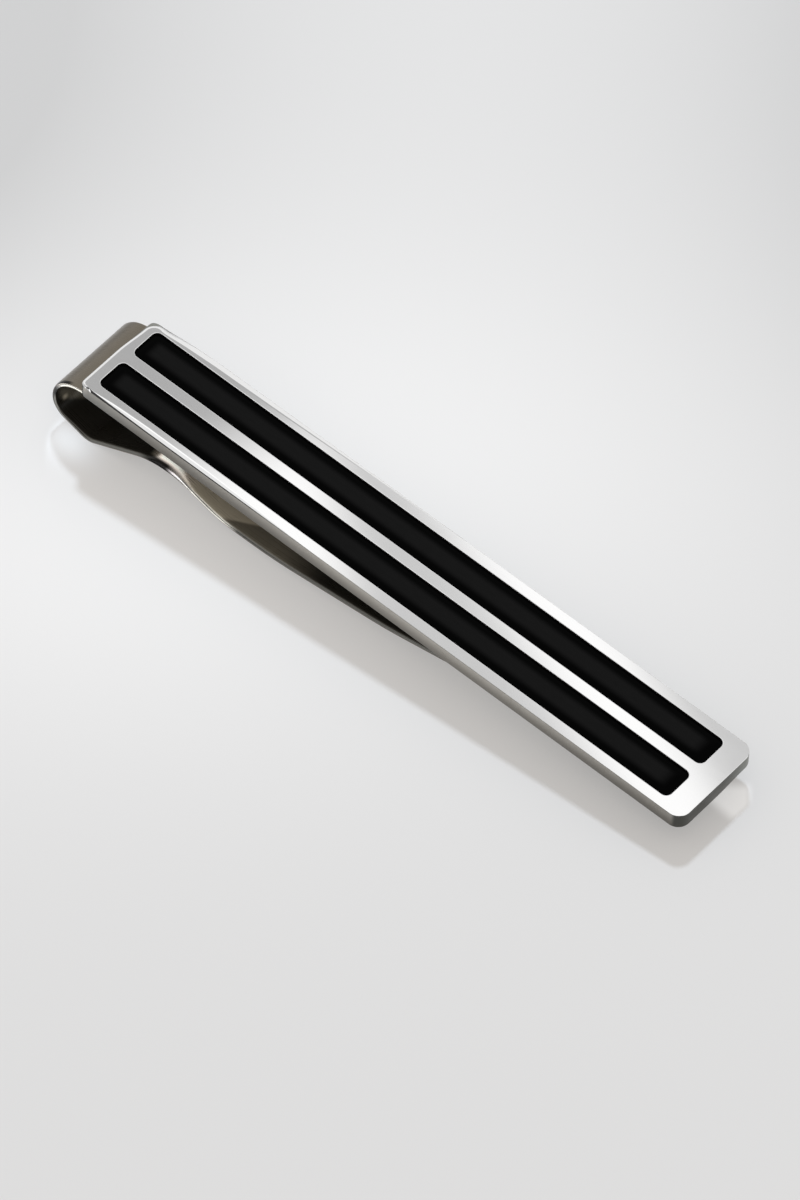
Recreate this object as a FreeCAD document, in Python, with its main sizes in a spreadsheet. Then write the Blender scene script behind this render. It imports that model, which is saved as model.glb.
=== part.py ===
"""Tie clip: a polished steel bar with two black inlays, held to a tie by a hairpin strip of spring steel.

The strip is soldered under the bar, turns back in a loop at one end and runs below the bar as a wavy grip
leg whose crest presses against the bar's back. Millimetres, +Z out of the bar's face, X along the bar with
the loop at the -X end. Drawings are measured from the loop end of the bar's face; the finished clip is then
set down with its origin under the middle of its bounding box, level with the loop's lowest point.
"""
import FreeCAD
import Part
import Sketcher
import math
import os

# Driving dimensions: alias, millimetres (or a plain share), what it is
DIMENSIONS = [
    ("bar_start", 0.0, "loop end of the face bar, where drawings are measured from"),
    ("bar_length", 56.0, "face bar, end to end"),
    ("bar_width", 8.0, "face bar, edge to edge"),
    ("bar_thickness", 1.4, "face bar, face to back"),
    ("bar_loop_corner", 0.5, "plan radius of the bar's corners at the loop end"),
    ("bar_free_corner", 1.0, "plan radius of the bar's corners at the free end"),
    ("bar_edge_round", 0.15, "rounding of the face's outer edge"),
    ("loop_margin", 0.96, "steel between the loop end and the inlays"),
    ("free_margin", 1.94, "steel between the inlays and the free end"),
    ("side_rail", 0.86, "steel outside each inlay"),
    ("middle_rail", 0.94, "steel between the inlays"),
    ("pocket_depth", 0.6, "depth of the inlay pockets"),
    ("pocket_corner", 0.52, "plan radius of the pockets' corners"),
    ("inlay_play", 0.03, "gap between an inlay and its pocket's wall"),
    ("inlay_thickness", 0.5, "black inlay, bottom to crown"),
    ("inlay_edge_round", 0.2, "rolled-off top edge of an inlay"),
    ("glue_thickness", 0.05, "adhesive under an inlay"),
    ("seat_depth", 0.25, "shallow seat for the strip in the bar's back"),
    ("seat_play", 0.03, "gap between the strip and the seat's walls"),
    ("solder_thickness", 0.05, "solder between the seat and the strip"),
    ("strip_width", 7.4, "spring strip, edge to edge"),
    ("strip_thickness", 0.35, "spring strip gauge"),
    ("carrier_start", 0.6, "where the flat soldered end begins"),
    ("carrier_length", 24.0, "flat soldered end of the strip"),
    ("carrier_corner", 0.8, "plan radius of the soldered end's corners"),
    ("loop_x", -3.3, "corner above the loop"),
    ("loop_z", -1.2, "strip's upper face where it leaves the bar"),
    ("loop_radius", 3.16, "main bend of the loop, outer face"),
    ("heel_x", -2.83, "corner at the loop's lower back"),
    ("heel_z", -5.86, "corner at the loop's lower back"),
    ("heel_radius", 1.8, "bend at the heel, outer face"),
    ("foot_x", 0.45, "corner at the loop's lowest point"),
    ("foot_z", -7.0, "corner at the loop's lowest point"),
    ("foot_radius", 1.55, "bend at the foot, outer face"),
    ("split_share", 0.15, "share of the run from foot to pinch that belongs to the loop"),
    ("pinch_x", 7.58, "corner where the leg comes nearest the bar after the loop"),
    ("pinch_z", -3.05, "corner where the leg comes nearest the bar after the loop"),
    ("pinch_radius", 6.2, "bend at the pinch, outer face"),
    ("belly_x", 12.91, "corner where the leg's belly begins"),
    ("belly_z", -4.92, "corner where the leg's belly begins"),
    ("belly_radius", 7.0, "bend into the belly, outer face"),
    ("rise_x", 18.0, "corner where the leg starts to rise to the bar"),
    ("rise_z", -4.9, "corner where the leg starts to rise to the bar"),
    ("rise_radius", 30.0, "bend into the rise, outer face"),
    ("lift_x", 28.77, "corner where the rise steepens"),
    ("lift_z", -3.37, "corner where the rise steepens"),
    ("lift_radius", 30.0, "bend into the steeper rise, outer face"),
    ("crest_x", 35.5, "corner at the contact crest"),
    ("crest_z", -1.74, "corner at the contact crest"),
    ("crest_radius", 6.0, "bend at the contact crest, outer face"),
    ("tip_x", 38.6, "end of the leg's lead-in lip"),
    ("tip_z", -1.96, "end of the leg's lead-in lip"),
    ("tip_corner", 2.5, "plan radius of the leg's tip"),
]

doc = FreeCAD.newDocument("TieClip")
Constraint = Sketcher.Constraint
Vector = FreeCAD.Vector
START, END, CENTRE = 1, 2, 3
TOUCHING = 1e-6


# Spreadsheet of driving dimensions
def make_sheet():
    """One row per dimension: its meaning, its value under an alias."""
    sheet = doc.addObject("Spreadsheet::Sheet", "Dims")
    for row, (alias, value, meaning) in enumerate(DIMENSIONS, start=1):
        sheet.set(f"A{row}", meaning)
        sheet.set(f"B{row}", str(value))
        sheet.setAlias(f"B{row}", alias)
    doc.recompute()
    return sheet


sheet = make_sheet()


def size(expression):
    """The number that an expression on the sheet's aliases gives now."""
    return float(sheet.evalExpression(expression))


# Sketch helpers
def new_sketch(body, name, plane, lift=None):
    """A sketch on one of the body's own origin planes, raised along the plane's normal by an expression."""
    sketch = body.newObject("Sketcher::SketchObject", name)
    support = next(f for f in body.Origin.OriginFeatures if f.Role == plane)
    sketch.AttachmentSupport = (support, "")
    sketch.MapMode = "FlatFace"
    if lift:
        sketch.setExpression("AttachmentOffset.Base.z", lift)
    return sketch


def bind(sketch, constraint, expression):
    """Add a dimension and tie it to the sheet."""
    index = sketch.addConstraint(constraint)
    sketch.setExpression(f"Constraints[{index}]", expression)


def join(sketch, first, second):
    """Make the end of one edge and the start of the next meet smoothly where one is an arc."""
    meet = sketch.getPoint(*first)
    edge, others = second
    other = min(others, key=lambda end: (sketch.getPoint(edge, end) - meet).Length)
    sketch.addConstraint(Constraint("Tangent", first[0], first[1], edge, other))


def rounded_rectangle(sketch, west, east, south, north, west_radius, east_radius):
    """A rectangle with the same radius on both corners of each end; None leaves that end square."""
    x_low, x_high, y_low, y_high = (size(side) for side in (west, east, south, north))
    r_west = size(west_radius) if west_radius else 0.0
    r_east = size(east_radius) if east_radius else 0.0
    sides = [
        (Vector(x_low + r_west, y_low), Vector(x_high - r_east, y_low)),
        (Vector(x_high, y_low + r_east), Vector(x_high, y_high - r_east)),
        (Vector(x_high - r_east, y_high), Vector(x_low + r_west, y_high)),
        (Vector(x_low, y_high - r_west), Vector(x_low, y_low + r_west)),
    ]
    lines = [sketch.addGeometry(Part.LineSegment(a, b)) for a, b in sides]
    corners = [(r_east, east_radius)] * 2 + [(r_west, west_radius)] * 2
    for i, (radius, expression) in enumerate(corners):
        here, after = lines[i], lines[(i + 1) % 4]
        if not expression:
            sketch.addConstraint(Constraint("Coincident", here, END, after, START))
            continue
        a, b = sides[i][1], sides[(i + 1) % 4][0]
        inward = (sides[(i + 1) % 4][1] - b).normalize()
        centre = a + inward * radius
        middle = centre + ((a - centre) + (b - centre)).normalize() * radius
        arc = sketch.addGeometry(Part.Arc(a, middle, b))
        join(sketch, (here, END), (arc, (START, END)))
        join(sketch, (after, START), (arc, (START, END)))
        bind(sketch, Constraint("Radius", arc, radius), expression)
    for i, kind in enumerate(("Horizontal", "Vertical", "Horizontal", "Vertical")):
        sketch.addConstraint(Constraint(kind, lines[i]))
    bind(sketch, Constraint("DistanceY", lines[0], START, y_low), south)
    bind(sketch, Constraint("DistanceX", lines[1], START, x_high), east)
    bind(sketch, Constraint("DistanceY", lines[2], START, y_high), north)
    bind(sketch, Constraint("DistanceX", lines[3], START, x_low), west)


def bent_strip(sketch, corners, radii, gauge):
    """The side view of a strip: its outer face runs through the corners with a round bend at each inner one.

    corners are pairs of expressions, radii one expression per inner corner, gauge the strip's thickness,
    which lies to the left of the path.
    """
    points = [Vector(size(x), size(z)) for x, z in corners]
    thick = size(gauge)
    ways = [(b - a).normalize() for a, b in zip(points, points[1:])]
    inward = [Vector(-way.y, way.x) * thick for way in ways]
    starts, ends, bends = [points[0]], [], []
    for i, expression in enumerate(radii):
        before, after = ways[i], ways[i + 1]
        radius = size(expression)
        side = 1.0 if before.cross(after).z > 0 else -1.0
        trim = radius * math.tan(before.getAngle(after) / 2)
        ends.append(points[i + 1] - before * trim)
        starts.append(points[i + 1] + after * trim)
        bends.append(ends[-1] + Vector(-before.y, before.x) * side * radius)
    ends.append(points[-1])

    def face(shift):
        """Lines and arcs of one face, moved inward by a share of the gauge."""
        a = [p + n * shift for p, n in zip(starts, inward)]
        b = [p + n * shift for p, n in zip(ends, inward)]
        lines = [sketch.addGeometry(Part.LineSegment(p, q)) for p, q in zip(a, b)]
        arcs = []
        for i, centre in enumerate(bends):
            p, q = b[i], a[i + 1]
            middle = centre + ((p - centre) + (q - centre)).normalize() * (p - centre).Length
            arc = sketch.addGeometry(Part.Arc(p, middle, q))
            join(sketch, (lines[i], END), (arc, (START, END)))
            join(sketch, (lines[i + 1], START), (arc, (START, END)))
            arcs.append(arc)
        return lines, arcs

    outer, outer_arcs = face(0.0)
    inner, inner_arcs = face(1.0)
    for end, pick in ((START, 0), (END, -1)):
        a, b = sketch.getPoint(outer[pick], end), sketch.getPoint(inner[pick], end)
        cap = sketch.addGeometry(Part.LineSegment(a, b))
        sketch.addConstraint(Constraint("Coincident", cap, START, outer[pick], end))
        sketch.addConstraint(Constraint("Coincident", cap, END, inner[pick], end))
        sketch.addConstraint(Constraint("Perpendicular", cap, outer[pick]))
        if end == START:
            bind(sketch, Constraint("Distance", cap, START, cap, END, thick), gauge)
    for a, b in zip(outer, inner):
        sketch.addConstraint(Constraint("Parallel", a, b))
    for a, b, expression in zip(outer_arcs, inner_arcs, radii):
        sketch.addConstraint(Constraint("Coincident", a, CENTRE, b, CENTRE))
        bind(sketch, Constraint("Radius", a, size(expression)), expression)

    last = len(corners) - 1
    for i, (x, z) in enumerate(corners):
        if i in (0, last):
            spot = (outer[0], START) if i == 0 else (outer[-1], END)
        else:
            mark = sketch.addGeometry(Part.Point(points[i]), True)
            sketch.addConstraint(Constraint("PointOnObject", mark, START, outer[i - 1]))
            sketch.addConstraint(Constraint("PointOnObject", mark, START, outer[i]))
            spot = (mark, START)
        bind(sketch, Constraint("DistanceX", *spot, size(x)), x)
        bind(sketch, Constraint("DistanceY", *spot, size(z)), z)


# Feature helpers
def new_body(name):
    body = doc.addObject("PartDesign::Body", name)
    body.Label = name
    return body


def pad(body, sketch, length, both_sides=False):
    """Thicken a sketch along its normal, or half to each side of its plane."""
    feature = body.newObject("PartDesign::Pad", sketch.Name + "_pad")
    feature.Profile = sketch
    feature.setExpression("Length", length)
    if both_sides:
        feature.SideType = "Symmetric"
    doc.recompute()


def pocket(body, sketch, depth, upward=False):
    """Sink a sketch into the body, down from its plane or up from it, and make sure that metal came out."""
    before = body.Shape.Volume
    feature = body.newObject("PartDesign::Pocket", sketch.Name + "_pocket")
    feature.Profile = sketch
    feature.setExpression("Length", depth)
    feature.Reversed = upward
    doc.recompute()
    if body.Shape.Volume > before - TOUCHING:
        raise RuntimeError(feature.Name + " cut nothing")


def fillet(body, name, radius, wanted):
    """Round the edges of the body's last feature that the test wanted picks."""
    base = body.Tip
    edges = [f"Edge{i}" for i, edge in enumerate(base.Shape.Edges, start=1) if wanted(edge)]
    feature = body.newObject("PartDesign::Fillet", name)
    feature.Base = (base, edges)
    feature.setExpression("Radius", radius)
    doc.recompute()


def level(edge, height):
    """True where the whole edge lies at one height."""
    box = edge.BoundBox
    return abs(box.ZMin - height) < TOUCHING and abs(box.ZMax - height) < TOUCHING


# Face bar: plate with two pockets in its face and a seat for the strip in its back
WINDOW_WEST = "Dims.bar_start + Dims.loop_margin"
WINDOW_EAST = "Dims.bar_start + Dims.bar_length - Dims.free_margin"
WINDOW_INNER = "Dims.middle_rail / 2"
WINDOW_OUTER = "Dims.bar_width / 2 - Dims.side_rail"
CARRIER_END = "Dims.carrier_start + Dims.carrier_length"
INLAYS = {
    "lower_inlay": (f"-({WINDOW_OUTER})", f"-({WINDOW_INNER})"),
    "upper_inlay": (WINDOW_INNER, WINDOW_OUTER),
}


def make_face_bar():
    body = new_body("face_bar")
    outline = new_sketch(body, "bar_outline", "XY_Plane", "-Dims.bar_thickness")
    half = "Dims.bar_width / 2"
    rounded_rectangle(outline, "Dims.bar_start", "Dims.bar_start + Dims.bar_length", f"-{half}", half,
                      "Dims.bar_loop_corner", "Dims.bar_free_corner")
    pad(body, outline, "Dims.bar_thickness")

    def on_face_outline(edge):
        return level(edge, 0.0)

    fillet(body, "bar_softened_edge", "Dims.bar_edge_round", on_face_outline)
    for name, (south, north) in INLAYS.items():
        window = new_sketch(body, name + "_window", "XY_Plane")
        rounded_rectangle(window, WINDOW_WEST, WINDOW_EAST, south, north,
                          "Dims.pocket_corner", "Dims.pocket_corner")
        pocket(body, window, "Dims.pocket_depth")
    seat = new_sketch(body, "strip_seat", "XY_Plane", "-Dims.bar_thickness")
    half_seat = "(Dims.strip_width / 2 + Dims.seat_play)"
    rounded_rectangle(seat, "Dims.bar_start - Dims.bar_loop_corner", f"{CARRIER_END} + Dims.seat_play",
                      f"-{half_seat}", half_seat, None, "Dims.carrier_corner + Dims.seat_play")
    pocket(body, seat, "Dims.seat_depth", upward=True)
    return body


# Inlays and the adhesive under them
def make_inlay(name, south, north):
    """A black bar with rolled-off top edges, just clear of its pocket's walls."""
    body = new_body(name)
    outline = new_sketch(body, name + "_outline", "XY_Plane", "Dims.glue_thickness - Dims.pocket_depth")
    rounded_rectangle(outline, f"{WINDOW_WEST} + Dims.inlay_play", f"{WINDOW_EAST} - Dims.inlay_play",
                      f"{south} + Dims.inlay_play", f"{north} - Dims.inlay_play",
                      "Dims.pocket_corner - Dims.inlay_play", "Dims.pocket_corner - Dims.inlay_play")
    pad(body, outline, "Dims.inlay_thickness")
    crown = size("Dims.glue_thickness - Dims.pocket_depth + Dims.inlay_thickness")
    fillet(body, name + "_rolled_edge", "Dims.inlay_edge_round", lambda edge: level(edge, crown))
    return body


def make_glue(inlay, south, north):
    """A film as large as the inlay's foot, on the pocket's floor."""
    name = inlay + "_glue"
    body = new_body(name)
    outline = new_sketch(body, name + "_outline", "XY_Plane", "-Dims.pocket_depth")
    rounded_rectangle(outline, f"{WINDOW_WEST} + Dims.inlay_play", f"{WINDOW_EAST} - Dims.inlay_play",
                      f"{south} + Dims.inlay_play", f"{north} - Dims.inlay_play",
                      "Dims.pocket_corner - Dims.inlay_play", "Dims.pocket_corner - Dims.inlay_play")
    pad(body, outline, "Dims.glue_thickness")
    return body


# Spring strip: soldered carrier, loop and grip leg
HALF_STRIP = "Dims.strip_width / 2"


def corner(name):
    return f"Dims.{name}_x", f"Dims.{name}_z"


SPLIT = tuple(f"Dims.foot_{a} + Dims.split_share * (Dims.pinch_{a} - Dims.foot_{a})" for a in "xz")


def make_flat(name, lift, thickness):
    """A flat as wide as the strip, from the loop's end to the soldered end's rounded corners."""
    body = new_body(name)
    outline = new_sketch(body, name + "_outline", "XY_Plane", lift)
    rounded_rectangle(outline, "Dims.carrier_start", CARRIER_END, f"-{HALF_STRIP}", HALF_STRIP,
                      None, "Dims.carrier_corner")
    pad(body, outline, thickness)
    return body


def make_bend(name, corners, bends):
    """A bent length of the strip, drawn in side view and thickened to the strip's width."""
    body = new_body(name)
    side_view = new_sketch(body, name + "_side_view", "XZ_Plane")
    bent_strip(side_view, corners, [f"Dims.{bend}_radius" for bend in bends], "Dims.strip_thickness")
    pad(body, side_view, "Dims.strip_width", both_sides=True)
    return body


def make_loop():
    bends = ["loop", "heel", "foot"]
    path = [("Dims.carrier_start", "Dims.loop_z")] + [corner(bend) for bend in bends] + [SPLIT]
    return make_bend("spring_loop", path, bends)


def make_grip_leg():
    bends = ["pinch", "belly", "rise", "lift", "crest"]
    path = [SPLIT] + [corner(bend) for bend in bends] + [corner("tip")]
    body = make_bend("grip_leg", path, bends)

    def tip_edge(edge):
        """The two short upright edges at the far end of the lip."""
        box = edge.BoundBox
        return box.XMin > size("Dims.tip_x - Dims.strip_thickness") and box.YLength < TOUCHING < box.ZLength

    fillet(body, "leg_rounded_tip", "Dims.tip_corner", tip_edge)
    return body


pieces = [make_face_bar()]
for inlay_name, (low_side, high_side) in INLAYS.items():
    pieces.append(make_inlay(inlay_name, low_side, high_side))
    pieces.append(make_glue(inlay_name, low_side, high_side))
pieces.append(make_flat("solder_joint", "Dims.loop_z", "Dims.solder_thickness"))
pieces.append(make_flat("spring_carrier", "Dims.loop_z - Dims.strip_thickness", "Dims.strip_thickness"))
pieces.append(make_loop())
pieces.append(make_grip_leg())
doc.recompute()

# Every object and every finished piece is sound before anything is written
for item in doc.Objects:
    if {"Invalid", "Error"} & set(item.State):
        raise RuntimeError(f"{item.Label}: {item.State}")
for piece in pieces:
    if piece.Shape.isNull() or not piece.Shape.isValid() or len(piece.Shape.Solids) != 1:
        raise RuntimeError(piece.Label + " is not one sound solid")

# Set the clip down: origin under the middle of its box, at the height of its lowest point
whole = Part.makeCompound([piece.Shape for piece in pieces]).optimalBoundingBox()
set_down = Vector(-whole.Center.x, 0.0, -whole.ZMin)
for piece in pieces:
    piece.Placement = FreeCAD.Placement(set_down, FreeCAD.Rotation())
doc.recompute()

named = {piece.Label: piece.Shape for piece in pieces}
gap = named["grip_leg"].distToShape(named["face_bar"])[0]
main_bend = next(face.Surface for face in named["spring_loop"].Faces
                 if isinstance(face.Surface, Part.Cylinder)
                 and abs(face.Surface.Radius - size("Dims.loop_radius")) < TOUCHING)
print(f"box {whole.XLength:.3f} x {whole.YLength:.3f} x {whole.ZLength:.3f}, moved by {set_down}")
print(f"crest to bar gap {gap:.4f}, loop turns about {main_bend.Center}")

os.makedirs("parts", exist_ok=True)
for piece in pieces:
    piece.Shape.exportStep(f"parts/{piece.Label}.step")
    print(f"{piece.Label}: {piece.Shape.Volume:.2f} mm3, {len(piece.Shape.Faces)} faces")
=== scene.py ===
# %% [markdown]
# # A polished tie clip with black inlays
#
# The real thing is small and simple: a steel bar as long as a thumb, two black inlays let into its face,
# and one strip of spring steel that is soldered under the bar, turns back in a loop and grips the tie
# with a wavy leg. Simple things are hard to fake, because a mirror finish shows every fault of its
# surface. So the pieces here are worked out as smooth surfaces with numpy, one formula each, on top of a
# measured frame that is never moved.

# %% Open the measured frame
import math

import bmesh
import bpy
import numpy as np
from mathutils import Matrix, Vector


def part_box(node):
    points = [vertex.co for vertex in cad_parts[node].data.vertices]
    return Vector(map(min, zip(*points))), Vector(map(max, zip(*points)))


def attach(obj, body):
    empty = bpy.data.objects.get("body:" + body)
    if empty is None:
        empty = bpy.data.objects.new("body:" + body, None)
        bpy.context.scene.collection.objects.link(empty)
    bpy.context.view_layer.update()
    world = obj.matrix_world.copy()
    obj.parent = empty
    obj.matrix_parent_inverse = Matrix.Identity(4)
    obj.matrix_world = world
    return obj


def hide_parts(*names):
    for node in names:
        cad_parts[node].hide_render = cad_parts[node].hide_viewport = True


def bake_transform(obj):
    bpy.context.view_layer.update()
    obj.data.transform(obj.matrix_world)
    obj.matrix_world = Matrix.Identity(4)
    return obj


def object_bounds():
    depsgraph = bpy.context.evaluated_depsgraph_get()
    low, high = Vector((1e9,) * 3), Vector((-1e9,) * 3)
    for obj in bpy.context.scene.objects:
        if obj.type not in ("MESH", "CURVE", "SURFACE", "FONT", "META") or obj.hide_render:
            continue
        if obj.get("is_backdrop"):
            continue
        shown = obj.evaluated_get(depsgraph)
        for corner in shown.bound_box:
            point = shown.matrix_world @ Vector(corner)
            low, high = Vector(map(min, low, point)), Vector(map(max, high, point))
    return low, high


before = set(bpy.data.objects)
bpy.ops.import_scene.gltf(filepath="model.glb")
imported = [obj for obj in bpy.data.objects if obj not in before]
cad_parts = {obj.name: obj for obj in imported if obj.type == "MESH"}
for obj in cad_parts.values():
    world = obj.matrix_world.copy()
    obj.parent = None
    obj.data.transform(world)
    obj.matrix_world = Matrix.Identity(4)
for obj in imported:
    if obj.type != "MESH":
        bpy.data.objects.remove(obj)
cad_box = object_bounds()
MM = 0.001
print("frame nodes:", sorted(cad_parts))
print("frame size in mm:", [round(side / MM, 2) for side in cad_box[1] - cad_box[0]])

# %% [markdown]
# ## Where everything sits
#
# The frame gives each piece's box, so most places are read and not typed. What a box can't tell, such as
# the radius of a corner or the bends of the strip, is written down once, in millimetres. The strip's
# bends are measured from the loop end of the bar (along it) and from its face (down), which is how a
# maker would draw the side view.

# %% Boxes and drawing origin
bar_low, bar_high = (np.array(corner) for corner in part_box("face_bar"))
carrier_low, carrier_high = (np.array(corner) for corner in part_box("spring_carrier"))
DRAWING = np.array([bar_low[0], 0.0, bar_high[2]])
print("bar in mm:", np.round((bar_high - bar_low) / MM, 3))


# %% [markdown]
# ## Turning formulas into meshes
#
# Every surface below is a stack of rows of points. Neighbouring rows are joined by quads, which is
# nothing but index arithmetic on whole arrays. Rows may shrink to a line or a point; the doubles that
# this leaves are merged afterwards, so seams and ends come out closed. Edges that turn sharply are marked
# sharp, and everything else is shaded smooth, because a mirror needs normals that run on without a step.

# %% Rows of points to a mesh
MERGE = 2e-4 * MM
SHARP = math.radians(35)


def join_rows(rows, closed=True):
    """Quads between neighbouring rows: points j and j+1 of row i meet j+1 and j of row i+1.

    Closed rows wrap round.
    """
    count, across = rows.shape[:2]
    row = np.arange(count - 1)[:, None] * across
    here = np.arange(across if closed else across - 1)[None, :]
    after = (here + 1) % across
    quads = np.stack([row + here, row + after, row + across + after, row + across + here], axis=-1)
    return rows.reshape(-1, 3), quads.reshape(-1, 4)


def make_piece(name, surfaces, attributes=None, caps=()):
    """One object from several row stacks.

    attributes maps a name to one number per point, listed surface by surface; caps are rings of point
    numbers that close a tube's end.
    """
    points, faces, count = [], [], 0
    for rows, closed in surfaces:
        where, quads = join_rows(rows, closed)
        points.append(where)
        faces.append(quads + count)
        count += len(where)
    mesh = bpy.data.meshes.new(name)
    polygons = np.concatenate(faces).tolist() + [list(ring) for ring in caps]
    mesh.from_pydata(np.concatenate(points), [], polygons)
    for label, values in (attributes or {}).items():
        layer = mesh.attributes.new(label, "FLOAT", "POINT")
        layer.data.foreach_set("value", np.concatenate(values).astype(np.float32))
    work = bmesh.new()
    work.from_mesh(mesh)
    bmesh.ops.remove_doubles(work, verts=work.verts, dist=MERGE)
    bmesh.ops.dissolve_degenerate(work, edges=work.edges, dist=MERGE)
    bmesh.ops.recalc_face_normals(work, faces=work.faces)
    work.to_mesh(mesh)
    work.free()
    mesh.polygons.foreach_set("use_smooth", np.ones(len(mesh.polygons), bool))
    mesh.set_sharp_from_angle(angle=SHARP)
    piece = bpy.data.objects.new(name, mesh)
    bpy.context.scene.collection.objects.link(piece)
    print(f"{name}: {len(mesh.vertices)} points, {len(mesh.polygons)} faces")
    return piece


print("points closer than", round(MERGE / MM, 6), "mm are merged")

# %% [markdown]
# ## A rounded rectangle, always with the same points
#
# The bar, its pockets, the inlays and the seat in the bar's back are all rounded rectangles. If each
# outline has the same number of points in the same order, any two of them can be joined by quads. A
# corner is a quarter circle. Where two halves of the bar meet, on its middle line, a corner has to stay
# square: its points then spread along the two sides that meet there.

# %% Rounded rectangle outline
CORNER_STEPS = 12
LONG_STEPS = 56
SHORT_STEPS = 14
SIDE_STEPS = (LONG_STEPS, SHORT_STEPS, LONG_STEPS, SHORT_STEPS)
SQUARE_SPREAD = 0.3 * MM
CROWDING = 0.8


def outline(low, high, radii, square_north=False):
    """Points and outward directions round a rectangle, counter-clockwise from the south-west corner.

    Corner i: centre + r (cos a, sin a), with a running over the quarter turn from 180 + 90 i degrees.
    A square corner: corner + spread * max(-t, 0) back along the side before it, or max(t, 0) along the side
    after it. Along a side, points crowd towards both corners: share = t - c sin(2 pi t) / (2 pi).
    """
    signs = np.array([[-1, -1], [1, -1], [1, 1], [-1, 1]])
    corners = np.where(signs < 0, low, high)
    travel = np.array([[1, 0], [0, 1], [-1, 0], [0, -1]])
    outward = np.stack([travel[:, 1], -travel[:, 0]], axis=-1)
    arcs, normals = [], []
    for i, radius in enumerate(radii):
        share = np.linspace(0, 1, CORNER_STEPS + 1)[:, None]
        if square_north and i >= 2:
            t = 2 * share - 1
            spread = np.maximum(t, 0) * travel[i] - np.maximum(-t, 0) * travel[i - 1]
            arcs.append(corners[i] + SQUARE_SPREAD * spread)
            before_corner = t <= 0 if i == 2 else t < 0
            normals.append(np.where(before_corner, outward[i - 1], outward[i]))
        else:
            angle = math.pi * (1 + i / 2) + share * math.pi / 2
            around = np.concatenate([np.cos(angle), np.sin(angle)], axis=1)
            arcs.append(corners[i] + (around - signs[i]) * radius)
            normals.append(around)
    points, directions = [], []
    for i, steps in enumerate(SIDE_STEPS):
        even = np.linspace(0, 1, steps + 1)[1:-1, None]
        share = even - CROWDING * np.sin(2 * math.pi * even) / (2 * math.pi)
        points += [arcs[i], arcs[i][-1] + share * (arcs[(i + 1) % 4][0] - arcs[i][-1])]
        directions += [normals[i], np.repeat(outward[i][None, :], steps - 1, axis=0).astype(float)]
    return np.concatenate(points), np.concatenate(directions)


def at_height(plan, height):
    """Plan points lifted to a height, which may differ from point to point."""
    return np.column_stack([plan, np.broadcast_to(height, len(plan))])


def spine(plan, half_width):
    """Each plan point's partner on the line down the middle.

    x is held half a width clear of both ends, and y is halfway across.
    """
    low, high = plan.min(axis=0), plan.max(axis=0)
    x = np.clip(plan[:, 0], low[0] + half_width, high[0] - half_width)
    return np.column_stack([x, np.full(len(plan), (low[1] + high[1]) / 2)])


print("points round an outline:", 4 * CORNER_STEPS + sum(SIDE_STEPS))

# %% [markdown]
# ## The face bar
#
# The bar is a plate with two pockets in its face for the inlays and a shallow seat in its back for the
# strip. A Boolean would cut the pockets, but it leaves long thin triangles that ripple in a mirror. Here
# each half of the bar is made of rows instead: a ring of quads between the half's outline and its pocket,
# and a ribbon that carries the outline over the edge, down the wall and under to the seat.
#
# The edges are where a buffed bar differs from a drawing. Going outward from the flat face there is a
# gentle worn slope, then a steep narrow break, then the wall, which leans in a little at the loop end's
# corners. The wheel took more off the far edge than off the near one, so each half has its own list of
# wear, at a few places along the bar.

# %% Face bar sizes
LOOP_CORNER, FREE_CORNER = 0.5 * MM, 1.0 * MM
EDGE_BREAK = 0.025 * MM
BREAK_SLOPE = math.tan(math.radians(50))
LEAN_DEPTH, SHOULDER_START = 0.4 * MM, math.radians(40)
LOOP_END_ROLL, LOOP_END_DROP = 0.26 * MM, 0.1 * MM
POCKET_CORNER, POCKET_DEPTH, POCKET_RIM = 0.52 * MM, 0.6 * MM, 0.03 * MM
INLAY_PLAY = 0.03 * MM
SEAT_DEPTH, SEAT_PLAY, SEAT_WEB, SEAT_CORNER = 0.25 * MM, 0.03 * MM, 0.08 * MM, 0.8 * MM
SUPPORT = 0.02 * MM
MIDDLE_EASE = 3 * MM
ROUND_STEPS, RIM_STEPS, LEAN_STEPS, BACK_STEPS = 8, 3, 6, 4
face_z, back_z = bar_high[2], bar_low[2]
print("face at", round(face_z / MM, 3), "mm, back at", round(back_z / MM, 3), "mm")

# %% Wear along an edge
# Pairs of millimetres: how far from the loop end, and how much.
BACK_ROUND = ((6, 0.25), (15, 0.07))
WEAR_BLUR, WEAR_SAMPLES = 0.3, 9
NEAR_WEAR = {
    "slope": ((1, 0), (3, 0.24), (6, 0.34), (12, 0.32), (22, 0)),
    "drop": ((1, 0), (3, 0.012), (6, 0.04), (12, 0.04), (22, 0)),
    "break": ((0, 0.16), (1.5, 0.11), (3, 0.09), (6, 0.06), (14, 0.05), (22, 0.012)),
    "lean": ((0, 0.12), (0.4, 0.07), (0.8, 0.02), (1.3, 0)),
    "face corner": 0.5 * MM,
    "end lean": 0.0,
    "end back": 0.0,
}
FAR_WEAR = {
    "slope": ((0, 0.42), (2, 0.5), (4, 0.52), (8, 0.5), (12, 0.42), (20, 0.2), (28, 0)),
    "drop": ((1.5, 0.3), (3, 0.2), (6, 0.09), (10, 0.07), (28, 0)),
    "break": ((1.5, 0.12), (3, 0.06), (6, 0.025)),
    "lean": ((0, 0.1), (1.5, 0.1), (4, 0)),
    "face corner": 1.3 * MM,
    "end lean": 0.2 * MM,
    "end back": 0.25 * MM,
}


def smooth_step(value):
    """0 below 0, 1 above 1, and 3t^2 - 2t^3 between."""
    t = np.clip(value, 0, 1)
    return t * t * (3 - 2 * t)


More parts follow.
